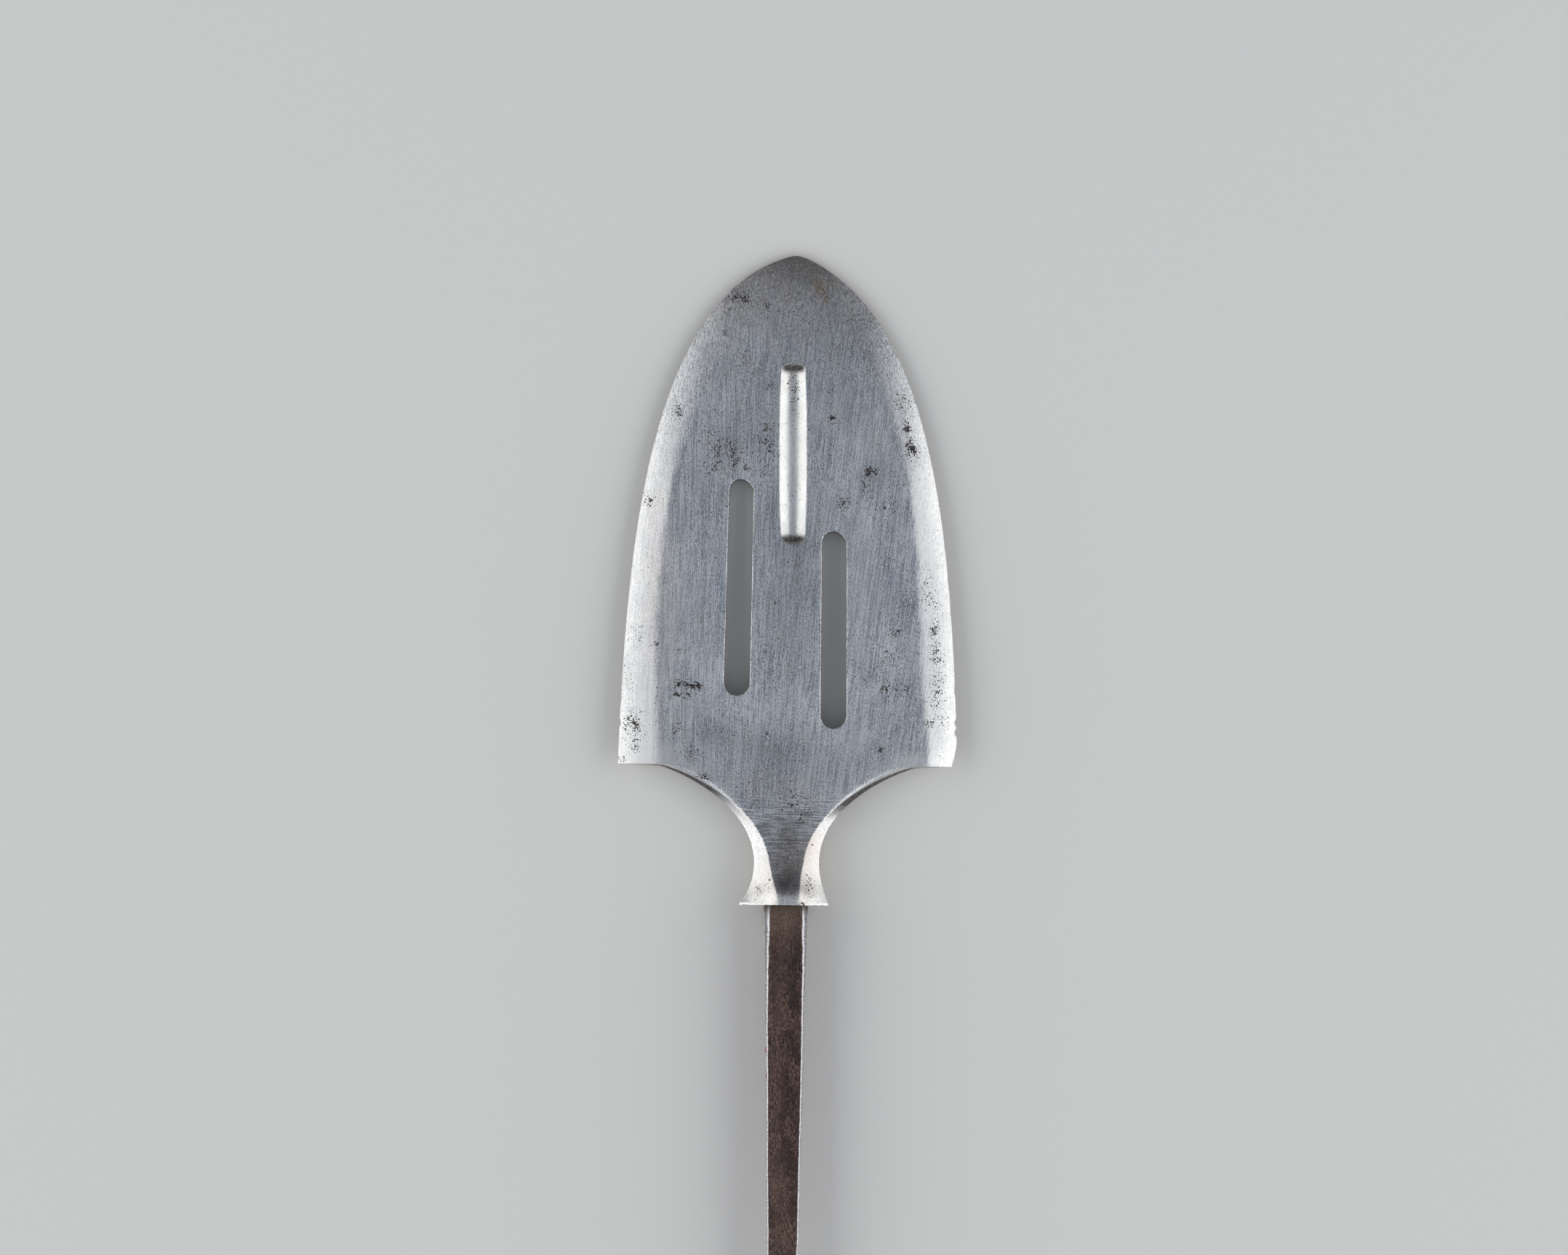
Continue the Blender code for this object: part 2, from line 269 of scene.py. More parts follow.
# Painted shade on the tang.
TANG_SHADE_COLOUR = (0.018, 0.01, 0.01)
DUST_COLOUR = (0.185, 0.118, 0.088)
FLECK_COLOUR = (0.24, 0.175, 0.115)
RUBBED = ((0.18, 0.165, 0.18), (0.39, 0.37, 0.39))
RIDGE_COLOUR = (0.92, 0.89, 0.84)
GRIME_COLOUR = (0.095, 0.066, 0.04)
ORANGE_COLOUR = (0.26, 0.115, 0.05)
PAINT_COLOUR = (0.42, 0.03, 0.03)

# Stage: the floor, the world's light and the lamps, each with its place in metres, size and power.
FLOOR_COLOUR = (0.83, 0.8, 0.745)
FLOOR_SIZE = 40.0
WORLD_COLOUR = (0.37, 0.41, 0.48)
WORLD_BEYOND_TIP = (0.12, 0.13, 0.15)
WORLD_FADE = (0.15, 0.75)
LAMPS = (
    ("left_box", (-0.66, -0.015, 0.42), (1.47, 0.8), 3.6),
    ("right_box", (0.66, -0.09, 0.42), (1.32, 0.8), 3.4),
)

# Edges sharper than these angles, in degrees, stay sharp in the shading.
HEAD_SHARP = 28.0
TANG_SHARP = 50.0

# Sockets of the Mix node for colours and for values: the two inputs and the output.
MIX_SOCKETS = {"RGBA": (6, 7, 2), "FLOAT": (2, 3, 0)}

# Where the surface is marked: x, height, half width, half height and strength of each patch. A patch ends
# where its squared distance, counted in its half sizes, gets to the reach.
PATCH_REACH = 5.0
PIT_PATCHES = (
    (-5.9, 68.9, 1.6, 1.0, 0.92), (-2.8, 68.1, 0.7, 0.5, 0.55), (-7.6, 65.0, 0.4, 0.4, 0.9),
    (-5.2, 62.5, 0.9, 0.6, 0.35), (-2.1, 62.4, 0.7, 0.7, 0.4), (-2.6, 59.1, 0.7, 0.6, 0.65),
    (-4.6, 57.0, 0.7, 0.7, 0.45), (3.9, 58.5, 0.8, 0.4, 0.75), (4.7, 55.5, 0.3, 0.3, 1.4),
    (7.4, 58.2, 0.4, 0.6, 0.6), (12.6, 57.4, 0.8, 1.1, 0.55), (-12.9, 56.0, 0.7, 1.1, 0.72),
    (-2.8, 54.3, 0.6, 0.4, 0.75), (-3.1, 52.5, 0.9, 1.3, 0.6), (-7.3, 52.5, 1.2, 1.5, 0.5),
    (-5.2, 51.7, 1.4, 1.2, 0.4), (-8.8, 51.8, 0.8, 1.4, 0.38), (-8.6, 49.4, 0.9, 1.2, 0.56),
    (-6.4, 50.0, 0.5, 1.0, 0.55), (-5.1, 49.6, 0.4, 0.5, 0.85), (13.2, 54.2, 0.6, 1.2, 0.85),
    (13.7, 51.7, 0.9, 1.4, 1.05), (9.1, 49.4, 0.7, 0.8, 1.2), (8.4, 47.9, 0.9, 1.0, 0.5),
    (10.7, 47.4, 0.3, 0.3, 1.2), (10.7, 45.6, 1.5, 1.0, 0.55), (5.8, 45.6, 0.8, 0.9, 0.48),
    (-16.0, 45.8, 0.9, 0.8, 0.7), (15.8, 37.2, 0.9, 0.9, 0.45), (16.2, 34.8, 1.2, 1.5, 0.62),
    (16.5, 31.6, 0.9, 1.3, 0.72), (16.7, 28.6, 0.8, 1.6, 0.7), (17.0, 24.8, 0.9, 1.5, 0.62),
    (16.6, 23.1, 0.6, 0.9, 0.55), (16.0, 20.9, 0.45, 0.6, 0.9), (17.4, 21.2, 0.9, 1.0, 0.62),
    (11.9, 31.0, 0.5, 0.35, 0.8), (10.6, 29.5, 2.4, 5.0, 0.26), (11.1, 24.9, 0.5, 0.8, 0.65),
    (13.1, 24.5, 0.7, 0.7, 0.85), (11.6, 21.6, 0.5, 0.3, 0.7), (10.6, 17.7, 0.3, 0.3, 1.3),
    (-17.2, 30.1, 0.8, 1.1, 0.65), (-15.0, 29.5, 0.25, 0.25, 1.4), (-12.5, 28.7, 0.25, 0.25, 1.3),
    (-12.7, 25.2, 0.35, 0.9, 0.75), (-10.3, 24.8, 0.5, 0.4, 1.5), (-11.2, 25.0, 0.5, 0.4, 0.6),
    (-12.7, 23.7, 0.4, 0.3, 1.35), (-11.5, 23.6, 0.8, 1.0, 0.6), (-11.8, 25.2, 1.3, 1.2, 0.42),
    (-12.5, 20.0, 0.6, 1.0, 0.6), (-17.6, 21.8, 1.2, 0.7, 0.55), (-17.7, 20.1, 1.2, 1.2, 0.78),
    (-17.5, 18.0, 1.1, 1.0, 0.6), (-18.8, 16.5, 0.5, 0.5, 1.2), (-18.0, 25.0, 0.8, 3.0, 0.35),
    (-10.7, 17.1, 1.3, 1.2, 0.7), (-9.4, 14.5, 0.8, 0.6, 0.8), (-2.2, 19.0, 0.3, 0.5, 1.2),
    (0.2, 12.2, 1.9, 2.6, 0.48), (-3.0, 1.7, 0.7, 0.7, 0.5), (2.5, 3.2, 0.4, 0.9, 0.42),
    (2.7, 1.8, 0.6, 0.9, 0.52), (1.9, 0.2, 0.4, 0.25, 1.5),
)
RUST_PATCHES = (
    (2.4, 71.5, 0.9, 1.0, 1.3), (3.1, 70.1, 0.9, 1.0, 1.2), (3.8, 68.8, 0.8, 0.9, 1.2),
    (5.2, 70.6, 1.5, 1.0, 1.0), (-2.7, 25.2, 0.9, 0.4, 1.1), (-10.4, 32.4, 0.3, 0.3, 1.5),
    (12.2, 20.0, 0.35, 0.6, 1.25), (9.6, 18.8, 0.4, 0.5, 1.1), (11.5, 17.9, 0.3, 0.8, 0.9),
    (14.7, 22.0, 0.3, 0.5, 1.0), (-1.9, 2.9, 0.4, 0.4, 0.95), (-2.4, 2.2, 0.4, 0.5, 1.0),
    (-2.9, 1.4, 0.4, 0.5, 0.9), (-3.3, 0.7, 0.4, 0.4, 1.15), (2.9, 6.9, 0.6, 0.25, 1.5),
    (0.2, 4.6, 1.6, 2.2, 0.95),
)
# Patches of painted shade: darker on the flats' middle and top and on the neck's front.
SHADE_PATCHES = (
    (0.0, 35.0, 3.8, 11.0, 0.4), (0.0, 61.0, 14.0, 12.0, 0.38), (-3.0, 15.0, 11.0, 4.5, 0.36),
    (0.0, 41.0, 4.8, 6.0, 0.26), (-9.0, 47.0, 4.5, 7.0, 0.14), (-8.6, 19.4, 2.4, 1.6, 0.5),
    (-2.0, 18.0, 4.0, 1.6, 0.35), (0.2, 7.6, 2.4, 2.8, 1.0), (0.1, 3.2, 1.9, 2.2, 0.5),
    (0.1, 2.4, 1.1, 1.1, 0.95), (2.4, 1.6, 0.8, 1.5, 0.6), (-2.9, 1.6, 0.7, 0.7, 0.25),
    (-6.5, 52.0, 3.0, 2.6, 0.25), (9.4, 49.0, 1.2, 1.4, 0.3), (6.0, 66.0, 4.0, 4.0, 0.3),
)
FILM_PATCHES = (
    (0.0, 70.0, 12.0, 6.5, 0.95), (0.2, 5.0, 2.4, 4.2, 1.45), (-2.8, 1.8, 0.9, 1.2, 0.35),
    (0.0, 12.5, 5.5, 4.0, 0.5), (0.0, 1.5, 4.5, 2.0, 0.3), (-14.2, 33.0, 2.4, 14.0, 0.7),
    (2.8, 7.0, 1.2, 3.0, 0.7),
)
# Patches of painted highlight where the light spreads onto the flats and bevels.
HIGHLIGHT_PATCHES = (
    (14.2, 16.3, 2.6, 1.2, 0.75), (10.5, 14.8, 2.0, 1.0, 0.45), (-14.0, 16.8, 2.0, 2.2, 0.75),
    (-10.5, 15.2, 2.2, 1.2, 0.45), (8.2, 37.0, 1.6, 8.0, 0.35), (-9.5, 28.0, 2.0, 6.0, 0.25),
    (8.0, 19.0, 3.0, 2.5, 0.28), (0.0, 12.6, 2.6, 1.6, 0.24), (9.5, 53.0, 2.5, 5.0, 0.2),
    (-13.8, 33.0, 1.9, 11.0, 0.42), (-4.5, 66.0, 2.5, 3.0, 0.2),
)
# Patches of painted shade on the tang, mostly on its right half.
TANG_SHADE_PATCHES = (
    (1.0, -5.5, 1.2, 3.0, 0.8), (1.2, -10.0, 1.1, 3.0, 0.55), (-1.0, -7.6, 0.9, 1.4, 0.35),
    (0.8, -15.5, 1.0, 1.6, 0.45), (0.9, -22.0, 1.1, 1.8, 0.45), (0.6, -29.5, 1.0, 2.5, 0.45),
)
DUST_PATCHES = (
    (-0.2, -1.6, 2.4, 2.6, 1.2), (-1.2, -8.5, 0.9, 2.6, 0.55), (-1.0, -12.8, 1.3, 1.4, 0.6),
    (-1.2, -18.5, 0.9, 4.0, 0.45), (-1.1, -25.0, 0.9, 3.0, 0.35), (-0.8, -31.0, 1.0, 3.0, 0.7),
    (-0.2, -37.5, 1.4, 4.0, 0.6),
)
PAINT_PATCHES = (
    (-2.4, -5.6, 0.2, 0.25, 1.0), (-2.32, -12.0, 0.2, 0.3, 1.0), (-2.15, -16.4, 0.16, 0.5, 1.3),
    (-2.1, -19.2, 0.16, 0.35, 1.2),
)
HEAD_PATCHES = {
    "pits": PIT_PATCHES,
    "rust": RUST_PATCHES,
    "painted_shade": SHADE_PATCHES,
    "film": FILM_PATCHES,
    "facet": HIGHLIGHT_PATCHES,
}
TANG_PATCHES = {"tang_shade": TANG_SHADE_PATCHES, "dust": DUST_PATCHES, "paint": PAINT_PATCHES}

Station = namedtuple("Station", "inner crease outer edge nick soft convex neck")


def lerp(start, end, share):
    return start + (end - start) * share


def ramp(value, low, high):
    """Share of the way from a low to a high value, kept from 0 to 1."""
    return min(1.0, max(0.0, (value - low) / (high - low)))


def bezier(points, share):
    """Point on the Bezier curve of any number of control points."""
    while len(points) > 1:
        points = [a.lerp(b, share) for a, b in zip(points, points[1:])]
    return points[0]


def softplus(value):
    """Zero below, the value itself above, with a smooth bend between them."""
    return value if value > 30.0 else math.log1p(math.exp(value))


def hump(value, centre, half):
    return math.exp(-(((value - centre) / half) ** 2))


def patch_level(patches, x, y):
    """How marked the surface is at a point, from all the patches near it."""
    total = 0.0
    for at_x, at_y, half_x, half_y, level in patches:
        away = ((x - at_x) / half_x) ** 2 + ((y - at_y) / half_y) ** 2
        if away < PATCH_REACH:
            total += level * math.exp(-away)
    return total


def patch_levels(tables, x, y):
    """The level of each kind of mark at a point."""
    return {name: patch_level(patches, x, y) for name, patches in tables.items()}


def curve_height(points, place):
    """Second coordinate of a Bezier curve where its first one reaches a place."""
    falling = points[-1][0] < points[0][0]
    low = 0.0
    high = 1.0
    for _ in range(30):
        middle = (low + high) / 2
        if (bezier(points, middle)[0] < place) != falling:
            low = middle
        else:
            high = middle
    return bezier(points, low)[1]


def flat_height(y):
    """Half thickness of the blade between its ground faces."""
    return lerp(FLAT_HALF, FLAT_HALF_AT_TIP, (y - CORNER_HEIGHT) / (HEAD_LENGTH - CORNER_HEIGHT))


def ogive(half_width, length, share):
    """Point of the outline, from the rounded tip at share 0 to the lower corner at share 1."""
    corners = [(0.0, 0.0), TIP_PULL, CORNER_PULL, (1.0, 1.0)]
    x, drop = bezier([Vector(corner) for corner in corners], share)
    x *= half_width
    blunt = TIP_SLOPE * (math.hypot(x, TIP_ROUND) - x)
    return Vector((x, CORNER_HEIGHT + (1.0 - drop) * length - blunt))


def nick_depth(side, y):
    """How much the edge has lost to nicks."""
    return sum(depth * hump(y, at, half) for nick_side, at, depth, half in NICKS if nick_side == side)


def corner_loss(side, y):
    """How much the right side has lost at its rubbed corner."""
    if side < 0 or y > CORNER_LOSS_HEIGHT:
        return 0.0
    share = (CORNER_LOSS_HEIGHT - y) / (CORNER_LOSS_HEIGHT - CORNER_HEIGHT)
    return CORNER_LOSS * share**CORNER_LOSS_POWER


def even_shares(length):
    """Shares of the outline that lie about evenly along its edge."""
    fine = [ogive(BLADE_HALF, length, step / OUTLINE_STEPS) for step in range(OUTLINE_STEPS + 1)]
    run = 0.0
    shares = [0.0]
    for step in range(1, OUTLINE_STEPS + 1):
        run += (fine[step] - fine[step - 1]).length
        if run >= BLADE_STEP:
            shares.append(step / OUTLINE_STEPS)
            run = 0.0
    return shares[:-1] + [1.0]


def bevel_width(side, y):
    """Width of the ground face, which is unlike at the two lower corners."""
    width = lerp(BEVEL, BEVEL_ABOVE, ramp(y, *BEVEL_NARROWING))
    width = lerp(width, BEVEL_AT_TIP, ramp(y, *BEVEL_FADE))
    return width + CORNER_SPREAD[side] * (1.0 - ramp(y, *CORNER_SPREAD_FADE))


def blade_stations(side):
    """Lines across the ground edge, from the tip to the corner."""
    length = HEAD_LENGTH - CORNER_HEIGHT
    stations = []
    for share in even_shares(length):
        outer = ogive(BLADE_HALF, length, share)
        inner = ogive(BLADE_HALF - STRIP, length - STRIP_AT_TIP, share)
        crease = outer.lerp(inner, bevel_width(side, outer.y) / (outer - inner).length)
        outer.x -= corner_loss(side, outer.y)
        nick = nick_depth(side, outer.y) * min(1.0, outer.x)
        fade = ramp(outer.y, *BEVEL_FADE)
        soft = lerp(*BEVEL_SOFT, fade)
        convex = lerp(*BEVEL_CONVEX, fade)
        stations.append(Station(inner, crease, outer, EDGE_HALF, nick, soft, convex, False))
    return stations


def neck_sections(side):
    """The four values of each section from the shoulder to the seat."""
    pull, rim_half, rim_facet = FLARE[side]
    rim = Vector((rim_half, RIM_HEIGHT, rim_facet, RIM_EDGE))
    seat = Vector((rim_half + RIM_LAND, 0.0, rim_facet, RIM_EDGE))
    shoulder = [SHOULDER, SHOULDER_TURN, SHOULDER_PULL[side], WAIST]
    flare = [WAIST, Vector((WAIST[0], pull, *FLARE_PULL)), rim]
    sections = [bezier(shoulder, step / NECK_STEPS) for step in range(NECK_STEPS)]
    sections += [bezier(flare, step / FLARE_STEPS) for step in range(FLARE_STEPS + 1)]
    return sections + [rim.lerp(seat, step / LAND_STEPS) for step in range(1, LAND_STEPS + 1)]


def neck_depth(y):
    """Half depth of the neck's front flat, which swells to the collar."""
    if y >= NECK_DEPTH[0][0]:
        return FLAT_HALF
    if y <= NECK_DEPTH[-1][0]:
        return NECK_DEPTH[-1][1]
    return curve_height(NECK_DEPTH, y)


def neck_stations(side):
    """Lines across the neck's side facets, from the shoulder to the seat."""
    stations = []
    for half_width, y, run, edge in neck_sections(side):
        flat = half_width - run
        towards_rim = max(0.0, 1.0 - max(0.0, y - RIM_HEIGHT) / (WAIST[1] - RIM_HEIGHT))
        shoulder = ramp(y, *SHOULDER_BLEND)
        soft = lerp(FACET_SOFT, RIM_SOFT, towards_rim**RIM_SOFT_POWER)
        soft = lerp(soft, SHOULDER_SOFT, shoulder)
        margin = min(lerp(NECK_MARGIN, SHOULDER_MARGIN, shoulder), MARGIN_SHARE * flat)
        points = [Vector((flat - margin, y)), Vector((flat, y)), Vector((half_width, y))]
        stations.append(Station(*points, edge, 0.0, soft, 0.0, True))
    return stations


def tip_lean(y):
    """How far the tip has bent to the right."""
    return TIP_LEAN * hump(y, HEAD_LENGTH, TIP_LEAN_LENGTH)


def waves(x, y, face):
    """Slow unevenness left by hand polishing."""
    spot = Vector((x * WAVE_RATES[0], y * WAVE_RATES[1], WAVE_SHIFT * face))
    return WAVES * (noise.noise(spot) + 0.5 * noise.noise(spot * WAVE_FINER))


def crown(x):
    """How much the flats fall away from the middle."""
    return CROWN * (x / CROWN_HALF) ** 2


def blade_top(x, y, face):
    """Height of the blade's flat."""
    return flat_height(y) - crown(x) + waves(x, y, face)


def neck_top(x, y, face):
    """Height of the neck's flat."""
    return neck_depth(y) - crown(x) + waves(x, y, face) * min(1.0, y / WAVE_FADE)


def groove_across(x, y):
    """Place across the groove, from -1 at its left lip to 1 at its right."""
    middle = (GROOVE_TOP + GROOVE_BOTTOM) / 2
    along = min(GROOVE_OVERRUN, abs(y - middle) / (GROOVE_TOP - middle))
    half = GROOVE_HALF - GROOVE_PINCH * along**3
    return (x - GROOVE_X - GROOVE_LEAN * (y - middle)) / half


def groove_sink(x, y):
    """Depth of the groove, with soft lips and ramped ends."""
    across = groove_across(x, y)
    arch = 1.0 - math.sqrt(1.0 - min(1.0, abs(across)) ** 3)
    side = GROOVE_DEPTH * (1.0 - across**2)
    below_top = GROOVE_TOP - GROOVE_TOP_ARCH * arch - y
    above_bottom = y - GROOVE_BOTTOM - GROOVE_BOTTOM_ARCH * arch
    end = GROOVE_RAMP * min(below_top, above_bottom)
    return GROOVE_LIP * softplus(min(side, end) / GROOVE_LIP)


def head_top(x, y, face):
    """Height of the front or the back between the ground edges."""
    if y < SHOULDER[1]:
        return neck_top(x, y, face)
    height = blade_top(x, y, face)
    return height - groove_sink(x, y) if face > 0 else height


class Body:
    """A mesh under construction, with levels of wear, painted shade and painted highlight kept on its
    points.
    """

    def __init__(self, *names):
        self.mesh = bmesh.new()
        self.place = self.mesh.verts.layers.float_vector.new("place")
        self.layers = {name: self.mesh.verts.layers.float.new(name) for name in names}

    def vertex(self, point, levels):
        """Adds a point with its levels of wear, painted shade and painted highlight."""
        vertex = self.mesh.verts.new(point)
        vertex[self.place] = point
        for name, level in levels.items():
            vertex[self.layers[name]] = level
        return vertex

    def quads(self, rows, flip=False, closed=False):
        """Joins rows of vertices into a sheet."""
        for upper, lower in zip(rows, rows[1:]):
            count = len(upper)
            for i in range(count if closed else count - 1):
                corners = (upper[i], upper[(i + 1) % count], lower[(i + 1) % count], lower[i])
                self.mesh.faces.new(reversed(corners) if flip else corners)

    def finished(self, name):
        """Closes the mesh and hands it over."""
        bmesh.ops.remove_doubles(self.mesh, verts=self.mesh.verts, dist=1e-4)
        bmesh.ops.recalc_face_normals(self.mesh, faces=self.mesh.faces)
        done = bpy.data.meshes.new(name)
        self.mesh.to_mesh(done)
        self.mesh.free()
        return done


def head_vertex(head, point, **marks):
    """Adds a point of the head with the stronger of its place's wear, painted shade and painted highlight
    and the given marks.
    """
    x, y = point.xy
    levels = patch_levels(HEAD_PATCHES, x, y)
    # Painted highlight on the collar's rim.
    levels["facet"] += RIM_HIGHLIGHT * ramp(y, *RIM_HIGHLIGHT_FADE)
    levels["tarnish"] = TARNISH * hump(y, HEAD_LENGTH, TARNISH_LENGTH)
    for name, level in marks.items():
        levels[name] = max(levels.get(name, 0.0), level)
    return head.vertex(point, levels)


def strip_points(station, side, face):
    """Points of one face of one side, from the flat to the edge, with a soft bend."""
    soft = station.soft
    width = (station.outer - station.crease).length
    flat_top = neck_top if station.neck else blade_top

    def bend(run):
        rise = soft * softplus(run / soft)
        return rise * (1.0 + station.convex * (rise / width) ** 3)

    outer_x = side * station.outer.x
    fall = (flat_top(outer_x, station.outer.y, face) - station.edge) / bend(width)
    points = []
    for place in STRIP_PLACES:
        share = abs(place) ** (INNER_SPACING if place < 0 else OUTER_SPACING)
        end = station.inner if place < 0 else station.outer
        x, y = station.crease.lerp(end, share)
        run = math.copysign(share * (end - station.crease).length, place)
        nicked = station.nick * share**NICK_POWER if place > 0 else 0.0
        x = side * (x - nicked) + tip_lean(y)
        points.append(Vector((x, y, face * (flat_top(x, y, face) - fall * bend(run)))))
    return points


def side_marks(station, side, place):
    """Painted highlight on the ground edges, the neck's facets and the flat by the shoulders, and painted
    shade on the shoulders' undersides.
    """
    if not station.neck:
        # Painted highlight on the ground edge.
        highlight = BEVEL_HIGHLIGHT[side] * (1.0 - ramp(station.outer.y, *HIGHLIGHT_FADE))
        highlight += CORNER_HIGHLIGHT[side] * (1.0 - ramp(station.outer.y, *CORNER_SPREAD_FADE))
        return {"facet": highlight * ramp(place, 0.0, FACET_FADE)}
    # On the neck: painted highlight on the flat by the shoulders and on the side facets, and painted shade
    # on the shoulders' undersides.
    under = ramp(station.outer.y, *UNDERSIDE[side])
    if place <= 0.0:
        return {"facet": SHOULDER_HIGHLIGHT * under * (1.0 + place)} if under > 0.0 else {}
    return {"facet": FACET_HIGHLIGHT * (1.0 - under), "dirt": under * ramp(place, 0.0, UNDERSIDE_FADE)}


def add_side(head, side, stations):
    """One side of the head as one sheet. Returns the two flats' borders and the sheet's last row."""
    rows = []
    for station in stations:
        front = strip_points(station, side, 1)
        back = strip_points(station, side, -1)
        bulge = side * EDGE_ROUND * min(1.0, station.outer.x)
        edge = front[-1].lerp(back[-1], 0.5) + Vector((bulge, 0.0, 0.0))
        places = STRIP_PLACES + [1.0] + STRIP_PLACES[::-1]
        points = front + [edge] + back[::-1]
        marks = [side_marks(station, side, place) for place in places]
        rows.append([head_vertex(head, point, **mark) for point, mark in zip(points, marks)])
    head.quads(rows, flip=side > 0)
    return [row[0].co.copy() for row in rows], [row[-1].co.copy() for row in rows], rows[-1]


def slot_outline(offset, lean, bottom, top):
    """Anticlockwise outline of a slot: round below, arched above, with the arch cut on its right."""
    half_length = (top - bottom) / 2
    points = []
    for step in range(SLOT_ROUND_STEPS + 1):
        angle = -math.pi + math.pi * step / SLOT_ROUND_STEPS
        rise = SLOT_HALF * (1 + math.sin(angle))
        points.append(Vector((SLOT_HALF * math.cos(angle), rise - half_length)))
    arch = []
    for curve in (SLOT_CUT, SLOT_ARCH):
        knots = [Vector((x, half_length + y)) for x, y in curve]
        arch += [bezier(knots, step / SLOT_ARCH_STEPS) for step in range(SLOT_ARCH_STEPS + 1)]
    shares = [step / SLOT_SIDE_STEPS for step in range(1, SLOT_SIDE_STEPS)]
    right = [points[-1].lerp(arch[0], share) for share in shares]
    left = [arch[-1].lerp(points[0], share) for share in shares]
    arch.pop(SLOT_ARCH_STEPS + 1)
    turn = Matrix.Rotation(lean, 2)
    middle = Vector((offset, bottom + half_length))
    return [middle + turn @ point for point in points + right + arch + left]


def outset(outline, distance):
    """The outline moved outwards, away from the opening."""
    moved = []
    for i, point in enumerate(outline):
        along = (outline[(i + 1) % len(outline)] - outline[i - 1]).normalized()
        moved.append(point + distance * Vector((along.y, -along.x)))
    return moved


def is_inside(point, outline):
    """Whether a point lies within a closed outline."""
    inside = False
    for a, b in zip(outline, outline[1:] + outline[:1]):
        if (a.y > point.y) != (b.y > point.y):
            if point.x < a.x + (b.x - a.x) * (point.y - a.y) / (b.y - a.y):
                inside = not inside
    return inside


def filled(border, holes, inside):
    """Points and triangles over a border with holes, by way of the inside points."""
    points = []
    edges = []
    for loop in [border] + holes:
        start = len(points)
        points += loop
        edges += [(start + i, start + (i + 1) % len(loop)) for i in range(len(loop))]
    points = points + inside
    found, _, triangles, origins, _, _ = delaunay_2d_cdt(points, edges, [], 1, 1e-7)
    boxes = [(min(p.y for p in hole), max(p.y for p in hole), hole) for hole in holes]
    kept = []
    for triangle in triangles:
        centre = sum((found[i] for i in triangle), Vector((0.0, 0.0))) / 3
        if not any(low < centre.y < high and is_inside(centre, hole) for low, high, hole in boxes):
            kept.append([origins[i][0] for i in triangle])
    return points, kept


def half_width_at(border, y):
    """Half width of the flat at a height, from one side's border."""
    for upper, lower in zip(border, border[1:]):
        if lower.y <= y <= upper.y:
            return abs(lerp(lower.x, upper.x, (y - lower.y) / max(1e-9, upper.y - lower.y)))
    return 0.0


def spread(start, end, step):
    """Even places from a start to an end, about a step apart."""
    count = max(1, round((end - start) / step))
    return [lerp(start, end, i / count) for i in range(count + 1)]


def groove_rows():
    """Heights and offsets of the fine points over the groove."""
    low = GROOVE_BOTTOM - GROOVE_MARGIN
    high = GROOVE_TOP + GROOVE_MARGIN
    lower = spread(low, low + GROOVE_END_ZONE, GROOVE_END_STEP)
    middle = spread(low + GROOVE_END_ZONE, high - GROOVE_END_ZONE, GROOVE_LONG_STEP)
    upper = spread(high - GROOVE_END_ZONE, high, GROOVE_END_STEP)
    reach = GROOVE_HALF + GROOVE_SIDE_MARGIN
    columns = [GROOVE_X + x for x in spread(-reach, reach, GROOVE_ACROSS_STEP)]
    return lower + middle[1:-1] + upper, columns


def flat_points(border, face):
    """Points inside the flat: a loose grid, and a fine one over the groove on the front."""
    points = []
    rows, columns = groove_rows()
    step = GRID_STEP[face]
    for y in spread(GRID_ENDS, border[0].y - GRID_ENDS, step):
        reach = half_width_at(border, y) - GRID_SIDES
        if reach <= GRID_LEAST:
            continue
        for x in spread(-reach, reach, step):
            over_groove = face > 0 and is_near(x, columns) and is_near(y, rows)
            if not over_groove and not near_slot(x, y):
                points.append(Vector((x, y)))
    if face > 0:
        points += [Vector((x, y)) for y in rows for x in columns]
    return points


def is_near(value, places):
    """Whether a value is among some places or close to them."""
    return places[0] - GRID_CLEAR < value < places[-1] + GRID_CLEAR


def near_slot(x, y):
    """Whether a point is in a slot or close to its lip."""
    for offset, _, bottom, top in SLOTS:
        if abs(x - offset) < SLOT_REACH and bottom - SLOT_END_CLEAR < y < top + SLOT_END_CLEAR:
            return True
    return False


def flat_marks(x, y, face):
    """Dirt in the ends and along the bottom of the groove, and painted highlight on its walls and floor."""
    if face < 0 or not GROOVE_BOTTOM - GROOVE_RIM < y < GROOVE_TOP + GROOVE_RIM:
        return {}
    across = abs(groove_across(x, y))
    if across > GROOVE_OVERRUN:
        return {}
    hollow = math.sqrt(max(0.0, 1.0 - across**2))
    level, inset, half = GROOVE_DIRT
    ends = max(hump(y, GROOVE_TOP - inset, half), hump(y, GROOVE_BOTTOM + inset, half))
    dirt = min(1.0, level * ends * hollow)
    level, length, half = GROOVE_TOP_PITS
    pits = level * hump(y, GROOVE_TOP - length, length) * hump(across, 0.0, half)
    level, half = GROOVE_FLOOR_PITS
    pits += level * hump(across, 0.0, half)
    # Painted highlight on the groove's walls and floor.
    highlight = lerp(GROOVE_FLOOR_HIGHLIGHT, GROOVE_WALL_HIGHLIGHT, min(1.0, across))
    highlight *= ramp(groove_sink(x, y), *GROOVE_HIGHLIGHT_FADE)
    return {"dirt": dirt, "pits": pits, "facet": highlight}


